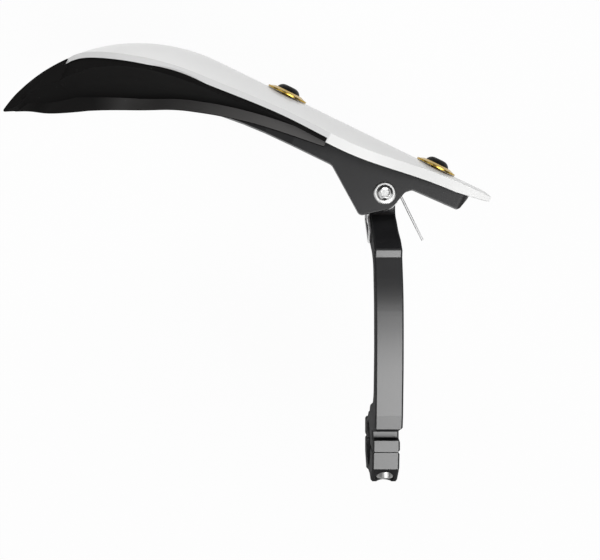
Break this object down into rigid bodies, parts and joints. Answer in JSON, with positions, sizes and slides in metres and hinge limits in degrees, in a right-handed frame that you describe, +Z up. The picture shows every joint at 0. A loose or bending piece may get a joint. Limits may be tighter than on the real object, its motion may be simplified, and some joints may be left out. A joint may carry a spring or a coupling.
{
  "type": "motorcycle hand guard",
  "caption": "Motorcycle hand guard: a curved shield on a sprung pivot at the end of a cranked arm, with a split clamp for a handlebar.",
  "frame": {"origin": "centre of the handlebar bore of the clamp", "axes": "+X along the handlebar towards the middle of the motorcycle, +Y forward, +Z up"},
  "size_m": [0.2344, 0.2115, 0.0881],
  "materials": {
    "arm_black": "black anodised, satin",
    "zinc_steel": "zinc plated",
    "bronze": "sintered bronze",
    "spring_steel": "bright drawn wire",
    "carrier_black": "moulded nylon, fine grain",
    "shell_white": "gloss",
    "liner_black": "satin moulded",
    "screw_black": "black oxide",
    "cup_gold": "gold anodised",
    "brass": "plain brass"
  },
  "bodies": {
    "mount": {"mounting_arm": "arm_black", "clamp_cap": "arm_black", "clamp_bolts": "zinc_steel", "upper_bush": "bronze", "lower_bush": "bronze", "return_spring": "spring_steel"},
    "guard": {"shield_carrier": "carrier_black", "shield_shell": "shell_white", "shield_liner": "liner_black", "pivot_bolt": "zinc_steel", "pivot_sleeve": "zinc_steel", "pivot_washer": "zinc_steel", "pivot_nut": "zinc_steel", "shield_screws": "screw_black", "cup_washers": "cup_gold", "screw_inserts": "brass"}
  },
  "joints": [
    {"name": "guard_pivot", "type": "hinge", "parent": "mount", "child": "guard", "pos_m": [0, 0.1216, 0], "axis": [0, 0, 1], "range_deg": [0, 15], "stiffness_Nm_per_rad": 0.7, "springref_deg": -28.65, "deforming": ["return_spring"]}
  ]
}
